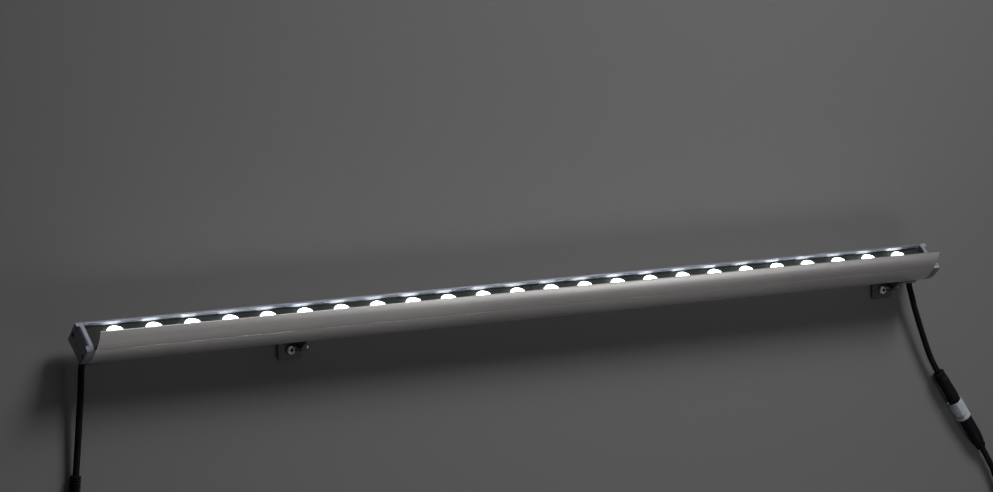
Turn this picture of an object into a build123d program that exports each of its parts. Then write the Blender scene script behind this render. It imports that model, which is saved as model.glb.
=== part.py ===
from build123d import *
import math
import os

# Linear wall washer light on two swivel brackets, with a connector lead at each end.
# Frame, in mm: X runs along the lamp, the wall is the plane Y = 0 with the lamp on its -Y side, +Z is up.
# The origin is on the wall, midway between the two wall screws.

os.makedirs("parts", exist_ok=True)

# ---------------------------------------------------------------- driving dimensions
LAMP_LENGTH = 1000.0  # over both end caps
LAMP_X = -100.0  # middle of the lamp; the brackets don't stand evenly under it
BODY_WIDTH = 34.6  # across the light opening
BODY_DEPTH = 22.3  # from the rim to the mounting face
TILT = 45.0  # angle of the light's axis above the horizontal
RIM_Y, RIM_Z = -30.0, 49.0  # the rear rim's edge
CAP_THICK = 7.5
GASKET_THICK = 0.8
VISOR_HALF = 491.2
FRAME_HALF = 491.5
WALL = 2.0

LED_COUNT = 24
LED_PITCH = 40.0
LED_FIRST = -463.7  # from the lamp's middle; the row stands 3.7 mm off it
LED_ACROSS = 17.2
LENS_RADIUS = 10.0

BRACKET_SPACING = 724.0
BRACKET_WIDTH = 26.0
PLATE_THICK = 3.0
PLATE_LOW, PLATE_HIGH = -9.4, 22.0
PIVOT_Y, PIVOT_Z = -11.0, 2.6
PIVOT_RADIUS = 1.5
CLAMP_RADIUS = 2.0
EYE_RADIUS = 3.8
RUNNING = 0.05  # radial clearance of a pin that turns in its hole

CORD_DIAMETER = 6.5
ENTRY_XS = {"left": -486.5, "right": 490.5}  # each cord's axis, from the lamp's middle
ENTRY_ACROSS = 17.2
COIL_RADIUS = 36.0
COIL_PITCH = 7.1
COIL_TURNS = 4

# ---------------------------------------------------------------- frame of the lamp
SLANT = math.sin(math.radians(TILT))
RISE = math.cos(math.radians(TILT))
ACROSS = Vector(0, -RISE, -SLANT)  # from the rear rim to the front rim
INWARD = Vector(0, SLANT, -RISE)  # from the rim into the body
LAMP_END = LAMP_LENGTH / 2
HOUSING_HALF = LAMP_END - CAP_THICK - GASKET_THICK
BRACKET_XS = (-BRACKET_SPACING / 2, BRACKET_SPACING / 2)


def lamp_point(x, across, depth):
    """A point of the lamp: x from its middle, then across the opening, then into the body."""
    return Vector(LAMP_X + x, RIM_Y, RIM_Z) + ACROSS * across + INWARD * depth


def section_plane(x):
    """Cross-section of the lamp at x from its middle: local x goes across, local y into the body."""
    return Plane(origin=lamp_point(x, 0, 0), x_dir=ACROSS, z_dir=(1, 0, 0))


def face_plane(depth):
    """Plane parallel to the light opening: local x along the lamp, local y is minus the distance across."""
    return Plane(origin=lamp_point(0, 0, depth), x_dir=(1, 0, 0), z_dir=-INWARD)


def side_plane(x, across):
    """Plane along the lamp, square to its opening: local x along the lamp, local y into the body."""
    return Plane(origin=lamp_point(x, across, 0), x_dir=(1, 0, 0), z_dir=-ACROSS)


def save(part, name):
    part.label = name
    export_step(part, f"parts/{name}.step")


def mirrored(part):
    """The same piece at the lamp's other end."""
    return mirror(part, about=Plane.YZ.offset(LAMP_X))


led_xs = [LED_FIRST + LED_PITCH * i for i in range(LED_COUNT)]
half_rows = {"left": led_xs[: LED_COUNT // 2], "right": led_xs[LED_COUNT // 2 :]}
pivot_across = (Vector(0, PIVOT_Y - RIM_Y, PIVOT_Z - RIM_Z)).dot(ACROSS)
pivot_depth = (Vector(0, PIVOT_Y - RIM_Y, PIVOT_Z - RIM_Z)).dot(INWARD)

# ---------------------------------------------------------------- housing
SHELF_TOP, SHELF_LOW = 11.2, 12.8  # depths of the web that carries the LED boards
CHAMBER_FLOOR = 20.5
FRONT_IN = BODY_WIDTH - 2.7
FRONT_MIDDLE = 5.5  # depth where the bowed front stands out furthest
FRONT_DROP = 3.8  # how far the front's lower edge stands back
CORNER_END = BODY_WIDTH - FRONT_DROP
FRONT_RADIUS = ((BODY_DEPTH - FRONT_MIDDLE) ** 2 + FRONT_DROP**2) / (2 * FRONT_DROP)
FRONT_EDGE = BODY_WIDTH - FRONT_RADIUS + math.sqrt(FRONT_RADIUS**2 - FRONT_MIDDLE**2)
SLOT_MID = LED_ACROSS
SLOT_HALF, NUT_HALF = 2.5, 5.0
SLOT_LIP, SLOT_ROOF = 20.7, 17.7
PORTS = ((3.4, 12.8), (30.4, 12.4))  # screw ports for the end caps: across, depth
PORT_RADIUS, PORT_BORE = 2.8, 1.6
CABLE_HOLE_X, CABLE_HOLE_RADIUS = 484.0, 3.3
BOARD_SCREWS = [LED_FIRST + LED_PITCH * (i + 0.5) for i in range(0, LED_COUNT, 3)]
VISOR_SCREWS = (-450.0, -270.0, -90.0, 90.0, 270.0, 450.0)
VISOR_SCREW_DEPTH = 2.4
BLOCK_SCREW_X, BLOCK_SCREW_ACROSS = 475.0, LED_ACROSS

with BuildPart() as housing:
    with BuildSketch(section_plane(-HOUSING_HALF)):
        with BuildLine():
            Polyline(
                (CORNER_END, BODY_DEPTH),
                (SLOT_MID + SLOT_HALF, BODY_DEPTH),
                (SLOT_MID + SLOT_HALF, SLOT_LIP),
                (SLOT_MID + NUT_HALF, SLOT_LIP),
                (SLOT_MID + NUT_HALF, SLOT_ROOF),
                (SLOT_MID - NUT_HALF, SLOT_ROOF),
                (SLOT_MID - NUT_HALF, SLOT_LIP),
                (SLOT_MID - SLOT_HALF, SLOT_LIP),
                (SLOT_MID - SLOT_HALF, BODY_DEPTH),
                (0, BODY_DEPTH),
                (0, 0),
                (WALL, 0),
                (WALL, SHELF_TOP),
                (FRONT_IN, SHELF_TOP),
                (FRONT_IN, 0),
                (FRONT_EDGE, 0),
            )
            ThreePointArc((FRONT_EDGE, 0), (BODY_WIDTH, FRONT_MIDDLE), (CORNER_END, BODY_DEPTH))
        make_face()
        with BuildLine():
            Polyline(
                (1.8, SHELF_LOW),
                (FRONT_IN + 0.6, SHELF_LOW),
                (30.4, CHAMBER_FLOOR),
                (23.6, CHAMBER_FLOOR),
                (23.6, 16.3),
                (10.8, 16.3),
                (10.8, CHAMBER_FLOOR),
                (1.8, CHAMBER_FLOOR),
                close=True,
            )
        make_face(mode=Mode.SUBTRACT)
        with Locations(*PORTS):
            Circle(PORT_RADIUS)
            Circle(PORT_BORE, mode=Mode.SUBTRACT)
    extrude(amount=2 * HOUSING_HALF)
    with BuildSketch(face_plane(SLOT_ROOF + 1)):
        with Locations((CABLE_HOLE_X, -SLOT_MID), (-CABLE_HOLE_X, -SLOT_MID)):
            Circle(CABLE_HOLE_RADIUS)
    extrude(amount=3, mode=Mode.SUBTRACT)
    with BuildSketch(face_plane(SHELF_LOW + 0.5)):
        for x in BOARD_SCREWS:
            with Locations((x, -LED_ACROSS)):
                Circle(1.3)
    extrude(amount=3, mode=Mode.SUBTRACT)
    with BuildSketch(face_plane(SLOT_ROOF + 1)):
        for x in (-BLOCK_SCREW_X, BLOCK_SCREW_X):
            with Locations((x, -BLOCK_SCREW_ACROSS)):
                Circle(1.5)
    extrude(amount=3, mode=Mode.SUBTRACT)
    with BuildSketch(side_plane(0, FRONT_IN - 1)):
        for x in VISOR_SCREWS:
            with Locations((x, VISOR_SCREW_DEPTH)):
                Circle(1.3)
    extrude(amount=-3.4, mode=Mode.SUBTRACT)
save(housing.part, "housing")

# ---------------------------------------------------------------- end caps, gaskets and screws
CAP_STEP_ACROSS, CAP_RISE = 29.7, 0.8
CAP_LIP = 2.0  # the cap's rear corner reaches this much lower than the housing
CAP_SCREW_HEAD, CAP_SCREW_SHANK = 2.5, 1.5
CAP_SCREW_SUNK, CAP_RECESS = 2.4, 5.0
CAP_BEVEL = 0.8
POCKET_ACROSS = (4.2, 28.4)  # between the two screw bosses the cap's outer edge is rounded away
POCKET_X, POCKET_TURN, POCKET_LOW = -495.8, 9.0, 15.0
POCKET_STEP = 0.6

with BuildPart() as cap_left:
    with BuildSketch(section_plane(-LAMP_END)):
        with BuildLine():
            Polyline(
                (CORNER_END, BODY_DEPTH),
                (0, BODY_DEPTH + CAP_LIP),
                (0, 0),
                (CAP_STEP_ACROSS, -CAP_RISE),
                (CAP_STEP_ACROSS + 0.6, 0),
                (FRONT_EDGE, 0),
            )
            ThreePointArc((FRONT_EDGE, 0), (BODY_WIDTH, FRONT_MIDDLE), (CORNER_END, BODY_DEPTH))
        make_face()
    extrude(amount=CAP_THICK)
    outer = cap_left.faces().sort_by(Axis.X)[0]
    lower_edge = outer.edges().sort_by_distance(lamp_point(-LAMP_END, 12, BODY_DEPTH))[0]
    chamfer(lower_edge, CAP_BEVEL)
    with BuildSketch(side_plane(0, POCKET_ACROSS[1])):
        with BuildLine():
            floor_x = POCKET_STEP - LAMP_END
            Polyline(
                (POCKET_X, -0.3),
                (POCKET_X, -4),
                (-LAMP_END - 1, -4),
                (-LAMP_END - 1, POCKET_LOW),
                (floor_x, POCKET_LOW),
                (floor_x, POCKET_TURN),
            )
            EllipticalCenterArc(
                (POCKET_X, POCKET_TURN), POCKET_X - floor_x, POCKET_TURN + 0.3, start_angle=180, arc_size=90
            )
        make_face()
    extrude(amount=POCKET_ACROSS[1] - POCKET_ACROSS[0], mode=Mode.SUBTRACT)
    with BuildSketch(section_plane(-LAMP_END)):
        with Locations(*PORTS):
            Circle(CAP_SCREW_HEAD)
    extrude(amount=CAP_RECESS, mode=Mode.SUBTRACT)
    with BuildSketch(section_plane(-LAMP_END)):
        with Locations(*PORTS):
            Circle(CAP_SCREW_SHANK + 0.15)
    extrude(amount=CAP_THICK, mode=Mode.SUBTRACT)
save(cap_left.part, "end_cap_left")
save(mirrored(cap_left.part), "end_cap_right")

with BuildPart() as gasket_left:
    with BuildSketch(section_plane(-LAMP_END + CAP_THICK)):
        with BuildLine():
            Polyline(
                (CORNER_END - 0.4, BODY_DEPTH - 0.4),
                (0.4, BODY_DEPTH - 0.4),
                (0.4, 0.4),
                (FRONT_EDGE - 0.4, 0.4),
            )
            ThreePointArc(
                (FRONT_EDGE - 0.4, 0.4),
                (BODY_WIDTH - 0.4, FRONT_MIDDLE),
                (CORNER_END - 0.4, BODY_DEPTH - 0.4),
            )
        make_face()
        with Locations(*PORTS):
            Circle(CAP_SCREW_SHANK + 0.2, mode=Mode.SUBTRACT)
    extrude(amount=GASKET_THICK)
save(gasket_left.part, "end_gasket_left")
save(mirrored(gasket_left.part), "end_gasket_right")

with BuildPart() as cap_screws_left:
    for across, depth in PORTS:
        with BuildSketch(section_plane(-LAMP_END + CAP_SCREW_SUNK)):
            with Locations((across, depth)):
                Circle(CAP_SCREW_HEAD - 0.15)
        extrude(amount=CAP_RECESS - CAP_SCREW_SUNK)
        with BuildSketch(section_plane(-LAMP_END + CAP_SCREW_SUNK)):
            with Locations((across, depth)):
                RegularPolygon(1.45, 6)
        extrude(amount=1.6, mode=Mode.SUBTRACT)
        with BuildSketch(section_plane(-LAMP_END + CAP_RECESS)):
            with Locations((across, depth)):
                Circle(CAP_SCREW_SHANK)
        extrude(amount=12.4)
with BuildPart() as cap_screws:
    add(cap_screws_left.part)
    mirror(cap_screws_left.part, about=Plane.YZ.offset(LAMP_X))
save(cap_screws.part, "end_cap_screws")

# ---------------------------------------------------------------- glare visor along the front rim
VISOR_TOP = 20.1
VISOR_THICK = 1.5

with BuildPart() as visor:
    with BuildSketch(section_plane(-VISOR_HALF)):
        with BuildLine():
            ThreePointArc((34.0, -1.3), (32.8, -10.8), (29.2, -VISOR_TOP))
            ThreePointArc((29.2, -VISOR_TOP), (28.3, -VISOR_TOP - 0.35), (27.7, -VISOR_TOP + 0.4))
            ThreePointArc((27.7, -VISOR_TOP + 0.4), (31.25, -10.6), (32.5, -2.2))
            Polyline(
                (32.5, -2.2),
                (FRONT_IN - VISOR_THICK, -1.4),
                (FRONT_IN - VISOR_THICK, 4.5),
                (FRONT_IN, 4.5),
                (FRONT_IN, 0),
                (34.0, 0),
                (34.0, -1.3),
            )
        make_face()
    extrude(amount=2 * VISOR_HALF)
    with BuildSketch(side_plane(0, FRONT_IN - 2)):
        for x in VISOR_SCREWS:
            with Locations((x, VISOR_SCREW_DEPTH)):
                Circle(1.3)
    extrude(amount=-2.5, mode=Mode.SUBTRACT)
save(visor.part, "glare_visor")

with BuildPart() as visor_screws:
    head_plane = side_plane(0, FRONT_IN - VISOR_THICK - 1.1)
    with BuildSketch(head_plane):
        for x in VISOR_SCREWS:
            with Locations((x, VISOR_SCREW_DEPTH)):
                Circle(2.2)
    extrude(amount=-1.1)
    with BuildSketch(head_plane):
        for x in VISOR_SCREWS:
            with Locations((x, VISOR_SCREW_DEPTH)):
                Circle(1.2)
    extrude(amount=-4.9)
save(visor_screws.part, "visor_screws")

# ---------------------------------------------------------------- LED boards, emitters, lenses, lens frames
BOARD_THICK = 1.6
BOARD_TOP = SHELF_TOP - BOARD_THICK
BOARD_WIDTH = 18.0
EMITTER_HIGH = 0.7
FRAME_TOP, FRAME_THICK = 5.0, 1.5
LENS_SEAT = 7.4
JOINT_X = (half_rows["left"][-1] + half_rows["right"][0]) / 2
BOARD_SPANS = {"left": (-486.0, JOINT_X - 0.5), "right": (JOINT_X + 0.5, 474.0)}
FRAME_SPANS = {"left": (-FRAME_HALF, JOINT_X - 0.2), "right": (JOINT_X + 0.2, FRAME_HALF)}

for side, xs in half_rows.items():
    start, end = BOARD_SPANS[side]
    with BuildPart() as board:
        with BuildSketch(face_plane(SHELF_TOP)):
            with Locations(((start + end) / 2, -LED_ACROSS)):
                Rectangle(end - start, BOARD_WIDTH)
            for x in BOARD_SCREWS:
                with Locations((x, -LED_ACROSS)):
                    Circle(1.4, mode=Mode.SUBTRACT)
        extrude(amount=BOARD_THICK)
    save(board.part, f"led_board_{side}")

    start, end = FRAME_SPANS[side]
    with BuildPart() as lens_frame:
        with BuildSketch(face_plane(FRAME_TOP + FRAME_THICK)):
            with Locations(((start + end) / 2, -(WALL + FRONT_IN) / 2)):
                Rectangle(end - start, FRONT_IN - WALL - 0.3)
            for x in xs:
                with Locations((x, -LED_ACROSS)):
                    Circle(LENS_SEAT, mode=Mode.SUBTRACT)
        extrude(amount=FRAME_THICK)
        with BuildSketch(face_plane(BOARD_TOP)):
            for x in xs[::3]:
                with Locations((x + LED_PITCH / 2, -LED_ACROSS + 7), (x + LED_PITCH / 2, -LED_ACROSS - 7)):
                    Circle(1.5)
        extrude(amount=BOARD_TOP - FRAME_TOP - FRAME_THICK)
    save(lens_frame.part, f"lens_frame_{side}")

    with BuildPart() as lenses:
        for x in xs:
            with BuildSketch(side_plane(x, LED_ACROSS)):
                with BuildLine():
                    ThreePointArc((0, -0.4), (5.2, -0.15), (LENS_RADIUS, 0.6))
                    Polyline(
                        (LENS_RADIUS, 0.6),
                        (LENS_RADIUS, 2.0),
                        (9.4, 2.1),
                        (8.0, 3.9),
                        (8.0, FRAME_TOP),
                        (7.1, FRAME_TOP),
                        (4.2, 8.6),
                        (2.3, 8.6),
                        (2.0, 6.4),
                        (0, 6.0),
                        (0, -0.4),
                    )
                make_face()
            revolve(axis=Axis(lamp_point(x, LED_ACROSS, 0), -INWARD))
    save(lenses.part, f"lenses_{side}")

with BuildPart() as emitters:
    with BuildSketch(face_plane(BOARD_TOP)):
        for x in led_xs:
            with Locations((x, -LED_ACROSS)):
                Rectangle(3.5, 3.5)
    extrude(amount=EMITTER_HIGH)
save(emitters.part, "led_emitters")

with BuildPart() as board_screws:
    with BuildSketch(face_plane(BOARD_TOP)):
        for x in BOARD_SCREWS:
            with Locations((x, -LED_ACROSS)):
                Circle(2.2)
    extrude(amount=1.4)
    with BuildSketch(face_plane(BOARD_TOP + 5)):
        for x in BOARD_SCREWS:
            with Locations((x, -LED_ACROSS)):
                Circle(1.2)
    extrude(amount=5)
save(board_screws.part, "led_board_screws")

# ---------------------------------------------------------------- regulator board and through wires
DRIVER_X, DRIVER_ACROSS = -410.0, 6.3
DRIVER_THICK = 1.1
WIRE_RADIUS = 1.1
with BuildPart() as driver:
    with BuildSketch(face_plane(CHAMBER_FLOOR)):
        with Locations((DRIVER_X, -DRIVER_ACROSS)):
            Rectangle(96, 8.2)
    extrude(amount=DRIVER_THICK)
save(driver.part, "regulator_board")

# each component: place along the board, length, width, height
COMPONENTS = (
    (-38, 9, 5, 2.6),
    (-24, 6, 6, 2.9),
    (-10, 5, 4, 1.5),
    (4, 7, 6, 2.9),
    (20, 9, 5, 2.6),
    (36, 8, 6, 2.2),
)
with BuildPart() as driver_parts:
    for along, long, wide, high in COMPONENTS:
        with BuildSketch(face_plane(CHAMBER_FLOOR - DRIVER_THICK)):
            with Locations((DRIVER_X + along, -DRIVER_ACROSS)):
                RectangleRounded(long, wide, 0.6)
        extrude(amount=high)
save(driver_parts.part, "regulator_components")

with BuildPart() as through_wires:
    with BuildSketch(section_plane(-470)):
        with Locations((25.6, CHAMBER_FLOOR - WIRE_RADIUS), (28.4, CHAMBER_FLOOR - WIRE_RADIUS)):
            Circle(WIRE_RADIUS)
    extrude(amount=940)
save(through_wires.part, "through_wires")

# ---------------------------------------------------------------- cable entry blocks
BLOCK_LOW = 33.5  # depth of the block's outer face
BLOCK_START = 470.7  # its square end, from the lamp's middle
BLOCK_ACROSS, BLOCK_HALF = LED_ACROSS, 9.0
NOSE_BACK = 4.4  # from the cord's axis back to the middle of the round end
BLOCK_WALL = 5.0  # under the wire channel
CHANNEL_WIDTH = 3.2
LIP_CLEAR_X, LIP_CLEAR_DEPTH = 492.2, 24.6  # the nose stays clear of the end cap's lip
GROMMET_OUT = 2.0
CORD_SEAT = CORD_DIAMETER / 2 + 0.1

for side, entry_x in ENTRY_XS.items():
    sign = math.copysign(1, entry_x)
    start, nose = sign * BLOCK_START, entry_x - sign * NOSE_BACK
    with BuildPart() as block:
        with BuildSketch(face_plane(BLOCK_LOW)):
            with Locations(((start + nose) / 2, -BLOCK_ACROSS)):
                Rectangle(abs(nose - start), 2 * BLOCK_HALF)
            with Locations((nose, -BLOCK_ACROSS)):
                Circle(BLOCK_HALF)
        extrude(amount=BLOCK_LOW - BODY_DEPTH)
        upright = Axis(lamp_point(0, 0, 0), INWARD)
        inboard = lamp_point(0, BLOCK_ACROSS, BODY_DEPTH)
        fillet(block.edges().filter_by(upright).sort_by_distance(inboard)[:2], 2.5)
        chamfer(block.faces().sort_by(upright)[-1].outer_wire().edges(), 0.8)
        with BuildSketch(face_plane(LIP_CLEAR_DEPTH)):
            with Locations((sign * (LIP_CLEAR_X + 5), -BLOCK_ACROSS)):
                Rectangle(10, 3 * BLOCK_HALF)
        extrude(amount=4, mode=Mode.SUBTRACT)
        with BuildSketch(face_plane(BLOCK_LOW)):
            with Locations((entry_x, -ENTRY_ACROSS)):
                Circle(CORD_SEAT)
        extrude(amount=BLOCK_WALL, mode=Mode.SUBTRACT)
        with BuildSketch(face_plane(BLOCK_LOW - BLOCK_WALL)):
            with Locations(((sign * CABLE_HOLE_X + entry_x) / 2, -ENTRY_ACROSS)):
                SlotCenterToCenter(abs(entry_x) - CABLE_HOLE_X, CHANNEL_WIDTH)
            with Locations((sign * CABLE_HOLE_X, -LED_ACROSS)):
                Circle(CABLE_HOLE_RADIUS)
        extrude(amount=BLOCK_LOW - BLOCK_WALL - BODY_DEPTH, mode=Mode.SUBTRACT)
        with BuildSketch(face_plane(BLOCK_LOW)):
            with Locations((sign * BLOCK_SCREW_X, -BLOCK_SCREW_ACROSS)):
                Circle(2.9)
        extrude(amount=2.4, mode=Mode.SUBTRACT)
        with BuildSketch(face_plane(BLOCK_LOW)):
            with Locations((sign * BLOCK_SCREW_X, -BLOCK_SCREW_ACROSS)):
                Circle(1.6)
        extrude(amount=BLOCK_LOW - BODY_DEPTH, mode=Mode.SUBTRACT)
    save(block.part, f"entry_block_{side}")

    with BuildPart() as grommet:
        with BuildSketch(face_plane(BLOCK_LOW + GROMMET_OUT)):
            with Locations((entry_x, -ENTRY_ACROSS)):
                Circle(4.3)
                Circle(CORD_SEAT, mode=Mode.SUBTRACT)
        extrude(amount=GROMMET_OUT)
    save(grommet.part, f"entry_grommet_{side}")

with BuildPart() as block_screws:
    for x in (-BLOCK_SCREW_X, BLOCK_SCREW_X):
        with BuildSketch(face_plane(BLOCK_LOW - 0.6)):
            with Locations((x, -BLOCK_SCREW_ACROSS)):
                Circle(2.75)
                RegularPolygon(1.4, 6, mode=Mode.SUBTRACT)
        extrude(amount=1.0)
        with BuildSketch(face_plane(BLOCK_LOW - 1.6)):
            with Locations((x, -BLOCK_SCREW_ACROSS)):
                Circle(2.75)
        extrude(amount=0.8)
        with BuildSketch(face_plane(BLOCK_LOW - 2.4)):
            with Locations((x, -BLOCK_SCREW_ACROSS)):
                Circle(1.4)
        extrude(amount=BLOCK_LOW - SLOT_ROOF + 1.4)
save(block_screws.part, "entry_block_screws")

# ---------------------------------------------------------------- tilting arms with their slot nuts
FOOT_THICK = 3.0
FOOT_ACROSS = (7.5, 28.5)
FOOT_X = (-12.0, 8.4)  # from the bracket's middle
ARM_EYE = (5.1, 8.1)  # the eye's faces along X, from the bracket's middle
CLAMP_X = -3.5

for side, middle in zip(("left", "right"), BRACKET_XS):
    from_lamp = middle - LAMP_X
    with BuildPart() as arm:
        with BuildSketch(face_plane(BODY_DEPTH + FOOT_THICK)):
            with Locations((from_lamp + sum(FOOT_X) / 2, -sum(FOOT_ACROSS) / 2)):
                RectangleRounded(FOOT_X[1] - FOOT_X[0], FOOT_ACROSS[1] - FOOT_ACROSS[0], 2.5)
            with Locations((from_lamp + CLAMP_X, -SLOT_MID)):
                Circle(2.2, mode=Mode.SUBTRACT)
        extrude(amount=FOOT_THICK)
        with BuildSketch(section_plane(from_lamp + ARM_EYE[0])):
            with BuildLine():
                Polyline(
                    (FOOT_ACROSS[0] + 2.5, BODY_DEPTH + 1),
                    (FOOT_ACROSS[1] - 2.5, BODY_DEPTH + 1),
                    (pivot_across + EYE_RADIUS, pivot_depth),
                    (pivot_across - EYE_RADIUS, pivot_depth),
                    close=True,
                )
            make_face()
            with Locations((pivot_across, pivot_depth)):
                Circle(EYE_RADIUS)
                Circle(PIVOT_RADIUS + RUNNING, mode=Mode.SUBTRACT)
        extrude(amount=ARM_EYE[1] - ARM_EYE[0])
    save(arm.part, f"tilt_arm_{side}")

    with BuildPart() as nut:
        with BuildSketch(face_plane(SLOT_LIP)):
            with Locations((from_lamp + CLAMP_X, -SLOT_MID)):
                RectangleRounded(13, 9.4, 1)
                Circle(CLAMP_RADIUS + RUNNING, mode=Mode.SUBTRACT)
        extrude(amount=2.7)
    save(nut.part, f"slot_nut_{side}")

with BuildPart() as clamp_bolts:
    for middle in BRACKET_XS:
        spot = (middle - LAMP_X + CLAMP_X, -SLOT_MID)
        with BuildSketch(face_plane(BODY_DEPTH + FOOT_THICK + 2.4)):
            with Locations(spot):
                RegularPolygon(4.0, 6)
        extrude(amount=2.4)
        with BuildSketch(face_plane(BODY_DEPTH + FOOT_THICK)):
            with Locations(spot):
                Circle(CLAMP_RADIUS)
        extrude(amount=7.2)
save(clamp_bolts.part, "arm_clamp_bolts")

# ---------------------------------------------------------------- wall plates with their ears
EAR = (9.0, 12.0)  # the ear's faces along X, from the bracket's middle

for side, middle in zip(("left", "right"), BRACKET_XS):
    with BuildPart() as plate:
        with BuildSketch(Plane.XZ):
            with Locations((middle, (PLATE_LOW + PLATE_HIGH) / 2)):
                Rectangle(BRACKET_WIDTH, PLATE_HIGH - PLATE_LOW)
            with Locations((middle, 0)):
                Circle(2.3, mode=Mode.SUBTRACT)
        extrude(amount=PLATE_THICK)
        fillet(plate.edges().filter_by(Axis.Y).group_by(Axis.Z)[0], 3.0)
        fillet(plate.edges().filter_by(Axis.Y).group_by(Axis.Z)[-1], 1.5)
        with BuildSketch(Plane.YZ.offset(middle + EAR[0])):
            with BuildLine():
                Polyline(
                    (-PLATE_THICK + 1, PIVOT_Z - EYE_RADIUS),
                    (PIVOT_Y, PIVOT_Z - EYE_RADIUS),
                    (PIVOT_Y, PIVOT_Z + EYE_RADIUS),
                    (-PLATE_THICK + 1, PLATE_HIGH - 5),
                    close=True,
                )
            make_face()
            with Locations((PIVOT_Y, PIVOT_Z)):
                Circle(EYE_RADIUS)
                Circle(PIVOT_RADIUS + RUNNING, mode=Mode.SUBTRACT)
        extrude(amount=EAR[1] - EAR[0])
    save(plate.part, f"wall_plate_{side}")

WASHER_THICK, WASHER_GAP = 0.8, 0.1
NUT_HIGH = 2.4
STUD_BEYOND = 2.9  # how far the stud shows past the ear
with BuildPart() as washers:
    for middle in BRACKET_XS:
        for x in (ARM_EYE[0] - WASHER_GAP - WASHER_THICK, ARM_EYE[1] + WASHER_GAP / 2):
            with BuildSketch(Plane.YZ.offset(middle + x)):
                with Locations((PIVOT_Y, PIVOT_Z)):
                    Circle(3.5)
                    Circle(PIVOT_RADIUS + RUNNING, mode=Mode.SUBTRACT)
            extrude(amount=WASHER_THICK)
save(washers.part, "pivot_washers")

nut_face = ARM_EYE[0] - WASHER_GAP - WASHER_THICK
with BuildPart() as pivot_nuts:
    for middle in BRACKET_XS:
        with BuildSketch(Plane.YZ.offset(middle + nut_face)):
            with Locations((PIVOT_Y, PIVOT_Z)):
                RegularPolygon(3.1, 6)
                Circle(PIVOT_RADIUS + RUNNING, mode=Mode.SUBTRACT)
        extrude(amount=-NUT_HIGH)
save(pivot_nuts.part, "pivot_nuts")

with BuildPart() as pivot_studs:
    for middle in BRACKET_XS:
        stud_start = middle + nut_face - NUT_HIGH - 0.5
        stud_end = middle + EAR[1] + STUD_BEYOND
        with BuildSketch(Plane.YZ.offset(stud_start)):
            with Locations((PIVOT_Y, PIVOT_Z)):
                Circle(PIVOT_RADIUS)
        extrude(amount=stud_end - stud_start)
        chamfer(pivot_studs.edges().filter_by(GeomType.CIRCLE).group_by(Axis.X)[-1], 0.4)
save(pivot_studs.part, "pivot_studs")

# ---------------------------------------------------------------- wall screws
SCREW_RADIUS = 2.0
SCREW_LONG = 28.0
SEAL_THICK = 0.8
HEAD_RADIUS, HEAD_SEAT, HEAD_TOP = 4.0, PLATE_THICK + SEAL_THICK, 6.4
RECESS_LONG, RECESS_WING, RECESS_MIDDLE, RECESS_DEEP = 5.0, 1.4, 1.5, 2.2
with BuildPart() as wall_screws:
    for middle in BRACKET_XS:
        with BuildSketch(Plane(origin=(middle, 0, 0), x_dir=(1, 0, 1), z_dir=(-1, 0, 1))):
            with BuildLine():
                Polyline(
                    (0, SCREW_LONG),
                    (0, -HEAD_TOP),
                    (HEAD_RADIUS - 1.0, -HEAD_TOP),
                    (HEAD_RADIUS, -HEAD_TOP + 1.2),
                    (HEAD_RADIUS, -HEAD_SEAT),
                    (2.2, -HEAD_SEAT),
                    (2.2, 0),
                    (SCREW_RADIUS, 0),
                    (SCREW_RADIUS, SCREW_LONG - 4),
                    (0, SCREW_LONG),
                )
            make_face()
        revolve(axis=Axis((middle, 0, 0), (0, 1, 0)))
        with BuildSketch(Plane(origin=(middle, -HEAD_TOP, 0), x_dir=(1, 0, 0), z_dir=(0, 1, 0))):
            Rectangle(RECESS_LONG, RECESS_WING)
            Rectangle(RECESS_WING, RECESS_LONG)
            Circle(RECESS_MIDDLE)
        extrude(amount=RECESS_DEEP, mode=Mode.SUBTRACT)
save(wall_screws.part, "wall_screws")

with BuildPart() as screw_seals:
    for middle in BRACKET_XS:
        with BuildSketch(Plane(origin=(middle, -PLATE_THICK, 0), x_dir=(1, 0, 0), z_dir=(0, -1, 0))):
            Circle(4.9)
            Circle(2.3, mode=Mode.SUBTRACT)
        extrude(amount=SEAL_THICK)
save(screw_seals.part, "wall_screw_seals")


# ---------------------------------------------------------------- cords
def corner_radii(points):
    """The radius of each corner's arc: 0.45 of the shorter run over the tangent of half the turn."""
    found = []
    for before, here, after in zip(points, points[1:], points[2:]):
        arriving, leaving = here - before, after - here
        turn = math.radians(arriving.get_angle(leaving))
        found.append(0.45 * min(arriving.length, leaving.length) / math.tan(turn / 2))
    return found


def cord_tube(points, name):
    """A cord's free stretch: straight runs joined by tangent arcs."""
    radii = corner_radii(points)
    with BuildPart() as cord:
        with BuildLine() as route:
            FilletPolyline(*points, radius=radii)
        with BuildSketch(Plane(origin=points[0], z_dir=points[1] - points[0])):
            Circle(CORD_DIAMETER / 2)
        sweep(path=route.wire())
    expected = route.wire().length * math.pi * CORD_DIAMETER**2 / 4
    print(name, "radii", [round(r, 1) for r in radii], "length", round(route.wire().length, 1))
    print(name, "volume over section times length", round(cord.part.volume / expected, 4))
    save(cord.part, name)


def exit_point(side, beyond):
    """A point on the cord's axis, this far beyond the grommet's outer face."""
    return lamp_point(ENTRY_XS[side], ENTRY_ACROSS, BLOCK_LOW + GROMMET_OUT + beyond)


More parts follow.
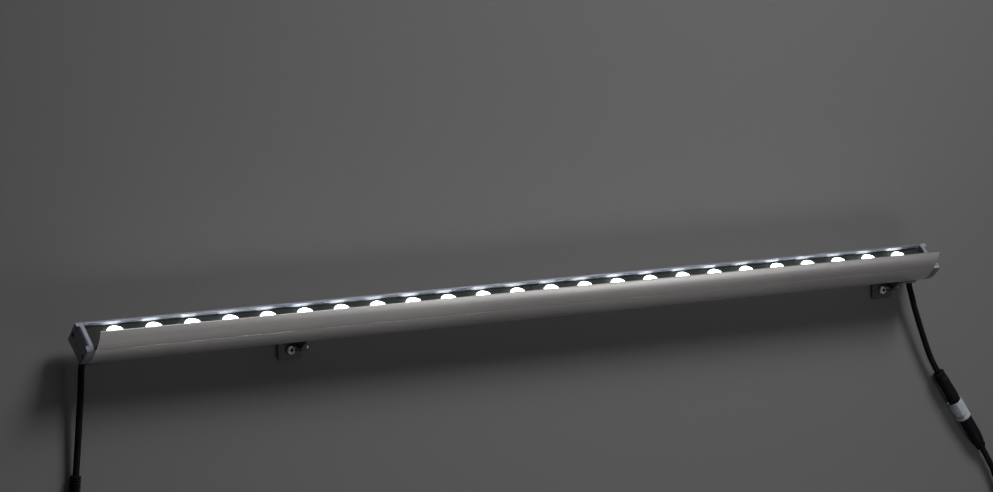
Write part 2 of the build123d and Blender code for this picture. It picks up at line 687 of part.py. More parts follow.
left_route = [
    exit_point("left", 0.3),
    exit_point("left", 7.0),
    Vector(-587.9, -12.9, -4.5),
    Vector(-588.6, -12.3, -20.0),
    Vector(-590.3, -10.3, -44.5),
    Vector(-592.0, -8.3, -70.5),
    Vector(-594.3, -6.9, -96.0),
]
right_route = [
    exit_point("right", 0.3),
    exit_point("right", 7.3),
    Vector(393.8, -13.1, -6.0),
    Vector(397.9, -12.5, -20.0),
    Vector(405.4, -11.8, -40.3),
    Vector(414.9, -10.4, -63.0),
    Vector(424.3, -9.5, -83.5),
    Vector(432.3, -9.2, -95.0),
]
cord_tube(left_route, "cord_left")
cord_tube(right_route, "cord_right")


# ---------------------------------------------------------------- connectors
def turned(plane, outline, bore=()):
    """A round piece about the plane's normal from (radius, height) points; a bore is (radius, low, high)."""
    centre = Axis(plane.origin, plane.z_dir)
    profile = Plane(origin=plane.origin, x_dir=plane.x_dir, z_dir=-plane.y_dir)
    with BuildPart() as made:
        with BuildSketch(profile):
            with BuildLine():
                Polyline((0, outline[0][1]), *outline, (0, outline[-1][1]), close=True)
            make_face()
        revolve(axis=centre)
        for radius, low, high in bore:
            with BuildSketch(plane.offset(low)):
                Circle(radius)
            extrude(amount=high - low, mode=Mode.SUBTRACT)
    return made.part


def ribs(low, count, pitch, valley, crest):
    """Outline points of evenly spaced grips, from low upwards."""
    points = []
    for i in range(count):
        start = low + i * pitch
        points += [
            (crest, start),
            (crest, start + 0.55 * pitch),
            (valley, start + 0.62 * pitch),
            (valley, start + 0.95 * pitch),
        ]
    return points


left_end, right_end = left_route[-1], right_route[-1]
left_axis = Plane(origin=left_end, x_dir=(0, 1, 0), z_dir=left_end - left_route[-2])
right_axis = Plane(origin=right_end, x_dir=(0, 1, 0), z_dir=right_end - right_route[-2])

TAIL_RIB_PITCH = 2.9
left_shell = turned(
    left_axis,
    [
        (4.2, 0),
        *ribs(0.4, 5, TAIL_RIB_PITCH, 4.3, 5.3),
        (5.6, 15.2),
        (6.6, 17.5),
        (7.3, 21),
        (7.3, 43),
        (6.9, 44),
        (6.9, 45.5),
        (5.3, 46),
        (5.3, 48.2),
        (6.0, 48.2),
        (6.0, 57),
    ],
    bore=[(4.4, 47, 57)],
)
save(left_shell, "connector_left_shell")
CONTACT_SPREAD = 1.9
with BuildPart() as left_insert:
    with BuildSketch(left_axis.offset(47)):
        Circle(4.4)
    extrude(amount=9.6)
    with BuildSketch(left_axis.offset(50)):
        with Locations((CONTACT_SPREAD, 0), (-CONTACT_SPREAD, 0)):
            Circle(1.0)
    extrude(amount=7, mode=Mode.SUBTRACT)
save(left_insert.part, "connector_left_insert")
with BuildPart() as left_contacts:
    with BuildSketch(left_axis.offset(50)):
        with Locations((CONTACT_SPREAD, 0), (-CONTACT_SPREAD, 0)):
            Circle(1.0)
            Circle(0.65, mode=Mode.SUBTRACT)
    extrude(amount=6)
save(left_contacts.part, "connector_left_contacts")
left_seal = turned(left_axis, [(6.2, 46.1), (6.2, 48.1)], bore=[(5.32, 46, 48.2)])
save(left_seal, "connector_left_seal")

RING_START, RING_LONG = 41.0, 17.4
SHELL_LONG = RING_START - 0.3
NOSE_END = SHELL_LONG + 12.5
PIN_SPREAD = 1.6
right_shell = turned(
    right_axis,
    [
        (5.2, 0),
        (5.9, 0.5),
        *ribs(0.9, 3, 2.4, 6.1, 6.6),
        (6.85, 9),
        (7.15, SHELL_LONG - 4.5),
        (7.0, SHELL_LONG),
        (5.0, SHELL_LONG),
        (5.0, NOSE_END),
    ],
    bore=[(3.6, NOSE_END - 8, NOSE_END)],
)
save(right_shell, "connector_right_shell")
with BuildPart() as right_pins:
    with BuildSketch(right_axis.offset(NOSE_END - 8)):
        with Locations((PIN_SPREAD, 0), (-PIN_SPREAD, 0)):
            Circle(0.75)
    extrude(amount=7)
save(right_pins.part, "connector_right_pins")

RING_RADIUS = 8.0
RING_GROOVE = RING_START + 10.6
ring = turned(
    right_axis,
    [
        (RING_RADIUS - 0.3, RING_START),
        (RING_RADIUS, RING_START + 0.3),
        (RING_RADIUS, RING_GROOVE),
        (RING_RADIUS - 0.25, RING_GROOVE + 0.3),
        (RING_RADIUS - 0.25, RING_GROOVE + 0.7),
        (RING_RADIUS, RING_GROOVE + 1.0),
        (RING_RADIUS, RING_START + RING_LONG - 0.3),
        (RING_RADIUS - 0.3, RING_START + RING_LONG),
    ],
    bore=[(6.28, RING_START + 2.2, RING_START + RING_LONG), (5.06, RING_START, RING_START + 2.2)],
)
save(ring, "coupling_ring")

COLLAR_START = RING_START + RING_LONG + 0.2
MATING_START = COLLAR_START + 5.8
MATING_NECK = NOSE_END - 6.2
mating_collar = turned(
    right_axis,
    [
        (6.6, COLLAR_START),
        (6.6, COLLAR_START + 1.4),
        (8.1, COLLAR_START + 1.9),
        (8.1, COLLAR_START + 5.3),
        (7.7, MATING_START),
    ],
    bore=[(6.2, COLLAR_START, MATING_START)],
)
save(mating_collar, "mating_collar")
TAIL_START = MATING_START + 37.2
MATING_END = MATING_START + 44.3
mating_shell = turned(
    right_axis,
    [
        (6.2, MATING_NECK),
        (6.2, MATING_START),
        (7.55, MATING_START),
        (7.55, MATING_START + 25.2),
        (6.6, MATING_START + 35.2),
        (5.9, TAIL_START),
        *ribs(TAIL_START + 0.2, 2, 2.4, 5.2, 5.8),
        (4.4, MATING_END),
    ],
    bore=[(5.15, MATING_NECK, MATING_NECK + 9.5)],
)
save(mating_shell, "mating_connector_shell")

# ---------------------------------------------------------------- supply lead and its put-away coil
lead_start = right_axis.origin + right_axis.z_dir * MATING_END
coil_in = Vector(523.0, -6.2, -272.0)  # the coil's first point, heading straight down
supply_route = [
    lead_start,
    lead_start + right_axis.z_dir * 14,
    Vector(510.8, -6.9, -211.9),
    Vector(518.0, -6.6, -231.6),
    Vector(523.0, -6.2, -254.0),
    coil_in,
]
cord_tube(supply_route, "supply_lead")

coil_start = coil_in + Vector(0, 0, -CORD_DIAMETER)
coil_centre = coil_start + Vector(COIL_RADIUS, 0, 0)


def coil_state(turns):
    """Point and direction on the coil after this many turns: it winds about an axis square to the wall."""
    angle = math.pi + 2 * math.pi * turns
    away = COIL_PITCH * turns
    spot = coil_centre + Vector(COIL_RADIUS * math.cos(angle), -away, COIL_RADIUS * math.sin(angle))
    heading = Vector(
        -2 * math.pi * COIL_RADIUS * math.sin(angle), -COIL_PITCH, 2 * math.pi * COIL_RADIUS * math.cos(angle)
    )
    return spot, heading.normalized()


def biarc(start, start_heading, end, end_heading):
    """Two arcs that run from start to end with these headings and meet smoothly."""
    gap = end - start
    both = start_heading + end_heading
    a = 2 * (start_heading.dot(end_heading) - 1)
    b = -2 * gap.dot(both)
    c = gap.dot(gap)
    reach = (-b - math.sqrt(b * b - 4 * a * c)) / (2 * a) if abs(a) > 1e-9 else -c / b
    near, far = start + start_heading * reach, end - end_heading * reach
    middle = (near + far) / 2
    TangentArc(start, middle, tangent=start_heading)
    TangentArc(middle, end, tangent=far - near)


with BuildPart() as coil:
    with BuildLine() as winding:
        stops = [coil_state(i / 4) for i in range(4 * COIL_TURNS + 1)]
        headings = [Vector(0, 0, -1)] + [heading for _, heading in stops[1:-1]] + [Vector(0, 0, -1)]
        Line(coil_in, stops[0][0])
        for i in range(4 * COIL_TURNS):
            biarc(stops[i][0], headings[i], stops[i + 1][0], headings[i + 1])
        coil_out = stops[-1][0] + Vector(0, 0, -CORD_DIAMETER)
        Line(stops[-1][0], coil_out)
    with BuildSketch(Plane(origin=coil_in, z_dir=(0, 0, -1))):
        Circle(CORD_DIAMETER / 2)
    sweep(path=winding.wire())
coil_length = winding.wire().length
print("supply_coil length", round(coil_length, 1))
print(
    "supply_coil volume over section times length",
    round(coil.part.volume / (coil_length * math.pi * CORD_DIAMETER**2 / 4), 4),
)
SAMPLES = 800
spots = [winding.wire() @ (i / SAMPLES) for i in range(SAMPLES + 1)]
apart = int(3 * CORD_DIAMETER / (coil_length / SAMPLES))
least = min(
    (spots[j] - spots[i]).length for i in range(0, SAMPLES + 1, 4) for j in range(i + apart, SAMPLES + 1)
)
print("supply_coil least gap to itself", round(least - CORD_DIAMETER, 2))
save(coil.part, "supply_coil")

with BuildPart() as tie:
    tie_high = coil_centre.Z + COIL_RADIUS
    nearest, furthest = coil_centre.Y - 0.75 * COIL_PITCH, coil_centre.Y - (COIL_TURNS - 0.25) * COIL_PITCH
    tall = CORD_DIAMETER + 0.6
    deep = nearest - furthest + CORD_DIAMETER + 0.6
    with BuildSketch(Plane.YZ.offset(coil_centre.X - 2)):
        with Locations(((nearest + furthest) / 2, tie_high)):
            RectangleRounded(deep + 2.4, tall + 2.4, 1.6)
            RectangleRounded(deep, tall, 0.6, mode=Mode.SUBTRACT)
    extrude(amount=4)
save(tie.part, "coil_tie")

with BuildPart() as cores:
    with BuildSketch(Plane(origin=coil_out, z_dir=(0, 0, -1))):
        with Locations((1.4, 0), (-1.4, 0)):
            Circle(1.1)
    extrude(amount=24)
save(cores.part, "supply_cores")
with BuildPart() as core_tips:
    with BuildSketch(Plane(origin=coil_out + Vector(0, 0, -24), z_dir=(0, 0, -1))):
        with Locations((1.4, 0), (-1.4, 0)):
            Circle(0.55)
    extrude(amount=8)
save(core_tips.part, "supply_core_tips")
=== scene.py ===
import math

import bpy
from mathutils import Matrix, Vector


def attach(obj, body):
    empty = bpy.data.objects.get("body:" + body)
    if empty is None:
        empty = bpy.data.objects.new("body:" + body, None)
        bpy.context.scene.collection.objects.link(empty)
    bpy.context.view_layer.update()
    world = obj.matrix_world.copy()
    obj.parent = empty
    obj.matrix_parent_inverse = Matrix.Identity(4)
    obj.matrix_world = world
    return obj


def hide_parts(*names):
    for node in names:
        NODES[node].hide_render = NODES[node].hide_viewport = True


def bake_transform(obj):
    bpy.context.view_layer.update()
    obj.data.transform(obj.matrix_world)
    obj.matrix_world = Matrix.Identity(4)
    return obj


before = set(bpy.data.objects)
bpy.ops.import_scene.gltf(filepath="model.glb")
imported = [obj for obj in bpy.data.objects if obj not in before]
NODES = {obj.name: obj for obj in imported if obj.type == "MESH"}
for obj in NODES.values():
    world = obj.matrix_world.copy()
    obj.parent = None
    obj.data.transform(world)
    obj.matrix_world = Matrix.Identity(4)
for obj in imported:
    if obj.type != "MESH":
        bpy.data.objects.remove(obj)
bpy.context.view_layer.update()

bl_info = {
    "name": "Linear Wall Washer",
    "version": (1, 0, 0),
    "blender": (4, 5, 0),
    "location": "3D View > Sidebar > Wall Washer",
    "description": "Finishes a linear wall washer light: anodised profile, lit lenses, brackets and cords",
    "category": "Object",
}

# ---------------------------------------------------------------- where the lamp sits, in metres
# The lamp is tilted 45 degrees. RIM is the middle of the light opening's rear edge, ACROSS runs
# over the opening to its front edge, and INWARD runs down into the body.
LAMP_X = -0.100
RIM = Vector((LAMP_X, -0.030, 0.049))
TILT_COSINE = math.sqrt(0.5)
ACROSS = Vector((0, -TILT_COSINE, -TILT_COSINE))
INWARD = Vector((0, TILT_COSINE, -TILT_COSINE))
RIM_ACROSS, RIM_INWARD = RIM.dot(ACROSS), RIM.dot(INWARD)
LED_FIRST_X = LAMP_X - 0.4637
LED_PITCH = 0.040
LED_ACROSS = 0.0172
LENS_RADIUS = 0.010
WALL_SCREW_X = 0.362
WALL_BODY, LAMP_BODY = "wall_brackets", "lamp"


def lamp_point(x, across, depth):
    """A point of the lamp: x from its middle, across its opening, and into its body."""
    return RIM + Vector((x, 0, 0)) + ACROSS * across + INWARD * depth


# ---------------------------------------------------------------- cord routes, in metres
LEFT_EXIT_X, RIGHT_EXIT_X, EXIT_ACROSS, EXIT_DEPTH = -0.4865, 0.4905, 0.0172, 0.0355
LEFT_ROUTE = [
    lamp_point(LEFT_EXIT_X, EXIT_ACROSS, EXIT_DEPTH + 0.0003),
    lamp_point(LEFT_EXIT_X, EXIT_ACROSS, EXIT_DEPTH + 0.0070),
    Vector((-0.5879, -0.0129, -0.0045)),
    Vector((-0.5886, -0.0123, -0.0200)),
    Vector((-0.5903, -0.0103, -0.0445)),
    Vector((-0.5920, -0.0083, -0.0705)),
    Vector((-0.5943, -0.0069, -0.0960)),
]
RIGHT_ROUTE = [
    lamp_point(RIGHT_EXIT_X, EXIT_ACROSS, EXIT_DEPTH + 0.0003),
    lamp_point(RIGHT_EXIT_X, EXIT_ACROSS, EXIT_DEPTH + 0.0073),
    Vector((0.3938, -0.0131, -0.0060)),
    Vector((0.3979, -0.0125, -0.0200)),
    Vector((0.4054, -0.0118, -0.0403)),
    Vector((0.4149, -0.0104, -0.0630)),
    Vector((0.4243, -0.0095, -0.0835)),
    Vector((0.4323, -0.0092, -0.0950)),
]
CONNECTOR_HEADING = (RIGHT_ROUTE[-1] - RIGHT_ROUTE[-2]).normalized()
MATING_LENGTH = 0.1087
LEAD_START = RIGHT_ROUTE[-1] + CONNECTOR_HEADING * MATING_LENGTH
COIL_IN = Vector((0.5230, -0.0062, -0.2720))
COIL_TANGENT = Vector((0, 0, -0.0065))
LEAD_ROUTE = [
    LEAD_START,
    LEAD_START + CONNECTOR_HEADING * 0.014,
    Vector((0.5108, -0.0069, -0.2119)),
    Vector((0.5180, -0.0066, -0.2316)),
    Vector((0.5230, -0.0062, -0.2540)),
    COIL_IN,
]
COIL_RADIUS, COIL_PITCH, COIL_TURNS = 0.036, 0.0071, 4
COIL_POINTS = 16
LEFT_CORD_LENGTH, RIGHT_CORD_LENGTH = 0.1096, 0.1170
LEFT_PIECES = (
    "connector_left_shell",
    "connector_left_insert",
    "connector_left_contacts",
    "connector_left_seal",
)
RIGHT_PIECES = (
    "connector_right_shell",
    "connector_right_pins",
    "coupling_ring",
    "mating_collar",
    "mating_connector_shell",
)
LAMP_CORDS = (
    ("left", LEFT_ROUTE, LEFT_CORD_LENGTH, LEFT_PIECES),
    ("right", RIGHT_ROUTE, RIGHT_CORD_LENGTH, RIGHT_PIECES),
)
ROUTE_STEPS, ROUND_STEPS = 12, 5

# ---------------------------------------------------------------- camera and stage, in metres and watts
CAMERA_PLACE = (-1.9263, -2.8647, 0.4004)
CAMERA_RIGHT = Vector((0.84459, -0.53471, -0.02749))
CAMERA_UP = Vector((0.07312, 0.06433, 0.99525))
CAMERA_FORWARD = Vector((0.53040, 0.84258, -0.09343))
LENS_MM, SENSOR_MM = 123.77, 36.0
NEAREST_SEEN, FURTHEST_SEEN = 0.1, 100.0

WALL_SIDE, WALL_TOP = 4, 3
FLOOR_SIDE, FLOOR_REACH = 6, 7
WALL_COLOUR = (0.1, 0.098, 0.098, 1)
FLOOR_COLOUR = (0.62, 0.615, 0.61, 1)
FLOOR_PALENESS = 0.42
BACKDROP_COLOUR = (0.72, 0.72, 0.72, 1)
AMBIENT_COLOUR, AMBIENT_STRENGTH = (0.95, 0.97, 1.0, 1), 0.14
# name, place, what it is aimed at, size, watts, spread in degrees
LIGHTS = (
    ("key_light", (0.75, -1.4, 1.9), (-0.05, 0, 0.05), (1.0, 0.7), 13, 70),
    ("fill_light", (0.68, -1.10, -0.85), (-0.02, -0.05, 0.0), (0.8, 0.35), 3.5, 180),
    ("back_light", (0.9, 1.7, -0.3), (-0.1, 0, 0.0), (1.2, 0.7), 7, 60),
)

# ---------------------------------------------------------------- where finishes change, in metres
# Each pair is where a soft border starts and ends, from the rim across the opening or into the body.
REAR_WALL_ACROSS = (0.0017, 0.0020)
FRONT_WALL_ACROSS = (0.0319, 0.0322)
WALL_FOOT_DEPTH = (0.0110, 0.0114)
REAR_RIM_ACROSS = (0.003, 0.005)
RIM_DEPTH = (0.0001, 0.0003)
# Beside each lens the strip reaches deeper by a bulge, and there it carries painted light from the LEDs.
STRIP_DEPTH, STRIP_BORDER, PAINTED_GLOW_BULGE = 0.0036, 0.0003, 0.0008
# From a lens's axis, and from a wall screw's axis and the wall.
# How far the painted LED glow reaches from a lens's axis.
PAINTED_GLOW_REACH = (0.0160, 0.0185)
CROSS_RADIUS = (0.0024, 0.0027)
CROSS_Y = (-0.0063, -0.0062)
# How far edges are rounded and worn.
PROFILE_EDGE, STEEL_EDGE, MOULDED_EDGE = 0.0004, 0.00025, 0.0005

# ---------------------------------------------------------------- colours that stay as they are
WORN_ALUMINIUM = (0.72, 0.72, 0.74)
WORN_COAT = (0.35, 0.35, 0.36)
DUST_ON_METAL = (0.36, 0.34, 0.31)
DUST_ON_COAT = (0.30, 0.28, 0.25)
DUST_ON_PLASTIC = (0.25, 0.235, 0.21)
DUST_ON_RUBBER = (0.2, 0.19, 0.17)
# The rear rim and the walls' upper strip are darker and bluer than the profile they are cut from: painted
# shade.
REAR_RIM_PAINTED_SHADE = (0.15, 0.153, 0.19)
STRIP_PAINTED_SHADE = (0.17, 0.175, 0.205)
# A lighter tone on the strip beside each lens: painted light from the LEDs.
PAINTED_LENS_GLOW = (0.28, 0.285, 0.31)
DEEP_WALL = (0.014, 0.017, 0.016)
RECESS_METALLIC = 0.1
BLACKENED_VISOR = (0.06, 0.06, 0.062)
# Near black in the wall screws' cross recesses: grime, and painted shade.
SCREW_GRIME_AND_SHADE = (0.008, 0.008, 0.008)
LENS_RIM_LIGHT, LENS_LIGHT = (0.0, 0.0, 0.0), (0.93, 0.97, 1.0)
PHOSPHOR_DIM, PHOSPHOR_BRIGHT = (0.9, 0.92, 0.95), (1.0, 1.0, 1.0)


# ---------------------------------------------------------------- node helpers
def new_group(name, inputs, outputs):
    """An empty node group with these sockets: (name, type, default)."""
    group = bpy.data.node_groups.new(name, "ShaderNodeTree")
    for label, kind, default in inputs:
        made = group.interface.new_socket(label, in_out="INPUT", socket_type=kind)
        if default is not None:
            made.default_value = default
    for label, kind in outputs:
        group.interface.new_socket(label, in_out="OUTPUT", socket_type=kind)
    return group, group.nodes.new("NodeGroupInput"), group.nodes.new("NodeGroupOutput")


def add(tree, kind, values=None, **settings):
    """A node with its settings, and values or links for its inputs, by name or number."""
    node = tree.nodes.new(kind)
    for key, value in settings.items():
        setattr(node, key, value)
    for key, value in (values or {}).items():
        socket = node.inputs[key]
        if isinstance(value, bpy.types.NodeSocket):
            tree.links.new(value, socket)
        else:
            socket.default_value = value
    return node


def math_node(tree, operation, first, second=0.0):
    """A number worked out from one or two others."""
    return add(tree, "ShaderNodeMath", {0: first, 1: second}, operation=operation).outputs[0]


def product(tree, first, second):
    """Two numbers multiplied."""
    return math_node(tree, "MULTIPLY", first, second)


def total(tree, first, second):
    """Two numbers added."""
    return math_node(tree, "ADD", first, second)


def difference(tree, first, second):
    """The second number taken from the first."""
    return math_node(tree, "SUBTRACT", first, second)


def hypotenuse(tree, first, second):
    """The distance that two offsets at a right angle make."""
    square = total(tree, product(tree, first, first), product(tree, second, second))
    return math_node(tree, "SQRT", square)


def along(tree, vector, direction):
    """How far a vector goes along a direction."""
    node = add(tree, "ShaderNodeVectorMath", {0: vector, 1: direction}, operation="DOT_PRODUCT")
    return node.outputs["Value"]


def separate(tree, vector):
    """A vector's x, y and z."""
    return add(tree, "ShaderNodeSeparateXYZ", {0: vector}).outputs


def noise(tree, vector, scale, detail, **more):
    """Smooth noise."""
    values = {"Vector": vector, "Scale": scale, "Detail": detail, **more}
    return add(tree, "ShaderNodeTexNoise", values).outputs[0]


def ranged(tree, value, low, high, to_low, to_high):
    """A value eased from one range to another, and held at its ends."""
    values = {0: value, 1: low, 2: high, 3: to_low, 4: to_high}
    return add(tree, "ShaderNodeMapRange", values, interpolation_type="SMOOTHSTEP").outputs[0]


def rising(tree, value, low, high):
    """A mask that is 0 below the low end and 1 above the high end."""
    return ranged(tree, value, low, high, 0.0, 1.0)


def falling(tree, value, low, high):
    """A mask that is 1 below the low end and 0 above the high end."""
    return ranged(tree, value, low, high, 1.0, 0.0)


def mixed(tree, factor, first, second):
    """A colour mix."""
    node = tree.nodes.new("ShaderNodeMix")
    node.data_type = "RGBA"
    for index, value in ((0, factor), (6, first), (7, second)):
        if isinstance(value, bpy.types.NodeSocket):
            tree.links.new(value, node.inputs[index])
        else:
            node.inputs[index].default_value = value
    return node.outputs[2]


def colour(rgb, share=1.0):
    """A colour, or a share of it, with its alpha."""
    return (*(channel * share for channel in rgb), 1.0)


# ---------------------------------------------------------------- shared effects
def put_out(group, result, *values):
    """Links a group's results to its output sockets."""
    for index, value in enumerate(values):
        group.links.new(value, result.inputs[index])


def make_fine_grain():
    """Fine grain all over: a height, and a slow mottle."""
    group, source, result = new_group(
        "fine_grain",
        [
            ("Vector", "NodeSocketVector", None),
            ("Scale", "NodeSocketFloat", 900.0),
            ("Mottle Scale", "NodeSocketFloat", 14.0),
        ],
        [("Height", "NodeSocketFloat"), ("Mottle", "NodeSocketFloat")],
    )
    vector, scale, mottle_scale = source.outputs[:3]
    grain = noise(group, vector, scale, detail=3.0)
    slow = noise(group, vector, mottle_scale, detail=4.0)
    put_out(group, result, grain, rising(group, slow, 0.35, 0.65))
    return group


def make_drawn_lines():
    """Long fine lines along X, as an extruded profile has."""
    group, source, result = new_group(
        "drawn_lines",
        [
            ("Vector", "NodeSocketVector", None),
            ("Density", "NodeSocketFloat", 1600.0),
            ("Stretch", "NodeSocketFloat", 3.0),
        ],
        [("Height", "NodeSocketFloat"), ("Streak", "NodeSocketFloat")],
    )
    vector, density, stretch = source.outputs[:3]
    x, y, z = separate(group, vector)
    long_x = product(group, x, stretch)
    fine_y, fine_z = product(group, y, density), product(group, z, density)
    squeezed = add(group, "ShaderNodeCombineXYZ", {0: long_x, 1: fine_y, 2: fine_z}).outputs[0]
    lines = noise(group, squeezed, 1.0, detail=4.0, Roughness=0.65)
    coarser = {0: squeezed, 1: (0.4, 0.12, 0.12)}
    coarse = add(group, "ShaderNodeVectorMath", coarser, operation="MULTIPLY").outputs[0]
    bands = noise(group, coarse, 1.0, detail=2.0)
    put_out(group, result, lines, rising(group, bands, 0.3, 0.7))
    return group


def make_edge_wear():
    """A mask along edges, broken up by noise, and a normal that rounds them."""
    group, source, result = new_group(
        "edge_wear",
        [
            ("Vector", "NodeSocketVector", None),
            ("Radius", "NodeSocketFloat", 0.0004),
            ("Break Up", "NodeSocketFloat", 160.0),
        ],
        [("Mask", "NodeSocketFloat"), ("Normal", "NodeSocketVector")],
    )
    vector, radius, break_up = source.outputs[:3]
    rounded = add(group, "ShaderNodeBevel", {"Radius": radius}, samples=4).outputs[0]
    flat = add(group, "ShaderNodeNewGeometry").outputs["Normal"]
    edge = falling(group, along(group, rounded, flat), 0.90, 0.995)
    broken = ranged(group, noise(group, vector, break_up, detail=4.0), 0.38, 0.62, 0.25, 1.0)
    put_out(group, result, product(group, edge, broken), rounded)
    return group


def make_settled_dust():
    """A mask of dust on faces that look up."""
    group, source, result = new_group(
        "settled_dust",
        [("Vector", "NodeSocketVector", None), ("Scale", "NodeSocketFloat", 60.0)],
        [("Mask", "NodeSocketFloat")],
    )
    vector, scale = source.outputs[:2]
    upward = separate(group, add(group, "ShaderNodeNewGeometry").outputs["Normal"])[2]
    up = rising(group, upward, 0.2, 1.0)
    spotty = rising(group, noise(group, vector, scale, detail=6.0), 0.42, 0.7)
    put_out(group, result, product(group, up, spotty))
    return group


EFFECTS = {
    "fine_grain": make_fine_grain,
    "drawn_lines": make_drawn_lines,
    "edge_wear": make_edge_wear,
    "settled_dust": make_settled_dust,
}


def use_effect(tree, name, vector, **values):
    """A shared effect in a material, with its own values. Its node group is built once."""
    node = tree.nodes.new("ShaderNodeGroup")
    node.node_tree = bpy.data.node_groups.get(name) or EFFECTS[name]()
    tree.links.new(vector, node.inputs["Vector"])
    for key, value in values.items():
        node.inputs[key.replace("_", " ").title()].default_value = value
    return node


# ---------------------------------------------------------------- materials
def start_material(name, **sockets):
    """A material with a Principled shader: the tree, the shader and Object coordinates."""
    material = bpy.data.materials.new(name)
    material.use_nodes = True
    tree = material.node_tree
    shader = tree.nodes["Principled BSDF"]
    for key, value in sockets.items():
        shader.inputs[key.replace("_", " ")].default_value = value
    place = add(tree, "ShaderNodeTexCoord").outputs["Object"]
    return material, tree, shader, place


def feed(tree, shader, **sockets):
    """Links changing values to the shader's sockets."""
    for key, value in sockets.items():
        tree.links.new(value, shader.inputs[key.replace("_", " ")])


def mottled(tree, grain, base, dark, light):
    """A base colour that drifts between a darker and a lighter share of itself."""
    return mixed(tree, grain.outputs["Mottle"], colour(base, dark), colour(base, light))


def overlaid(tree, tone, mask, amount, shade):
    """A tone with an amount of another colour where a mask is."""
    return mixed(tree, product(tree, mask, amount), tone, colour(shade))


def uneven(tree, grain, smooth, rough):
    """A roughness that drifts between two values."""
    return ranged(tree, grain.outputs["Mottle"], 0.0, 1.0, smooth, rough)


def bumped(tree, shader, height, normal, distance):
    """Gives the shader a bump, over a rounding normal where there is one."""
    values = {"Height": height, "Distance": distance}
    if normal is not None:
        values["Normal"] = normal
    feed(tree, shader, Normal=add(tree, "ShaderNodeBump", values).outputs[0])


def lens_distance(tree, place):
    """How far a point is from the nearest lens's axis."""
    x = separate(tree, place)[0]
    pitches = math_node(tree, "DIVIDE", difference(tree, x, LED_FIRST_X - LED_PITCH / 2), LED_PITCH)
    from_middle = difference(tree, math_node(tree, "FRACT", pitches), 0.5)
    lengthwise = product(tree, from_middle, LED_PITCH)
    crosswise = difference(tree, along(tree, place, ACROSS), RIM_ACROSS + LED_ACROSS)
    return hypotenuse(tree, lengthwise, crosswise)


def recess_masks(tree, place):
    """Masks of the light recess: side walls, their upper strip with its painted shade, the painted LED glow
    around each lens, and the rear rim with its painted shade.
    """
    across = along(tree, place, ACROSS)
    depth = along(tree, place, INWARD)

    def border(mask, value, start, pair):
        """A soft border between the two distances in a pair."""
        return mask(tree, value, start + pair[0], start + pair[1])

    inner = border(rising, across, RIM_ACROSS, REAR_WALL_ACROSS)
    front = border(falling, across, RIM_ACROSS, FRONT_WALL_ACROSS)
    low = border(falling, depth, RIM_INWARD, WALL_FOOT_DEPTH)
    walls = product(tree, product(tree, inner, front), low)
    # A mask of the painted LED glow around each lens.
    lens_glow = falling(tree, lens_distance(tree, place), *PAINTED_GLOW_REACH)
    level = difference(tree, depth, product(tree, lens_glow, PAINTED_GLOW_BULGE))
    strip_end = RIM_INWARD + STRIP_DEPTH
    strip = falling(tree, level, strip_end - STRIP_BORDER, strip_end)
    edge = border(falling, depth, RIM_INWARD, RIM_DEPTH)
    rim = product(tree, edge, border(falling, across, RIM_ACROSS, REAR_RIM_ACROSS))
    return walls, strip, lens_glow, rim


def anodised(name, base, rough, metal, density=1600.0, recess=False, blackened=False):
    """Anodised metal: lengthwise lines, a slow mottle and worn edges.

    The housing has its light recess, with painted shade on its rear rim and upper wall strip and painted
    LED glow around each lens, and the visor its blackened inner face.
    """
    material, tree, shader, place = start_material(name, Metallic=metal)
    lines = use_effect(tree, "drawn_lines", place, density=density)
    grain = use_effect(tree, "fine_grain", place, scale=2400.0, mottle_scale=9.0)
    wear = use_effect(tree, "edge_wear", place, radius=PROFILE_EDGE)
    dust = use_effect(tree, "settled_dust", place)
    tone = mottled(tree, grain, base, dark=0.94, light=1.05)
    streaks = product(tree, lines.outputs["Streak"], 0.22)
    tone = mixed(tree, streaks, tone, colour(base, 0.80))
    tone = overlaid(tree, tone, wear.outputs["Mask"], 0.16, WORN_ALUMINIUM)
    tone = overlaid(tree, tone, dust.outputs["Mask"], 0.10, DUST_ON_METAL)
    if recess:
        walls, strip, lens_glow, rim = recess_masks(tree, place)
        # Painted shade on the rear rim.
        tone = mixed(tree, rim, tone, colour(REAR_RIM_PAINTED_SHADE))
        # The strip's painted shade, lightened by painted LED glow around each lens.
        strip_shade_and_glow = mixed(tree, lens_glow, colour(STRIP_PAINTED_SHADE), colour(PAINTED_LENS_GLOW))
        inside = mixed(tree, strip, colour(DEEP_WALL), strip_shade_and_glow)
        tone = mixed(tree, walls, tone, inside)
        feed(tree, shader, Metallic=ranged(tree, walls, 0.0, 1.0, metal, RECESS_METALLIC))
    if blackened:
        outward = along(tree, place.node.outputs["Normal"], ACROSS)
        tone = mixed(tree, falling(tree, outward, 0.2, 0.6), tone, colour(BLACKENED_VISOR))
    sheen = ranged(tree, lines.outputs["Height"], 0.3, 0.7, rough - 0.05, rough + 0.07)
    dulled = total(tree, sheen, product(tree, dust.outputs["Mask"], 0.12))
    feed(tree, shader, Base_Color=tone, Roughness=dulled)
    height = total(tree, lines.outputs["Height"], product(tree, grain.outputs["Height"], 0.5))
    bumped(tree, shader, height, wear.outputs["Normal"], distance=0.00002)
    return material


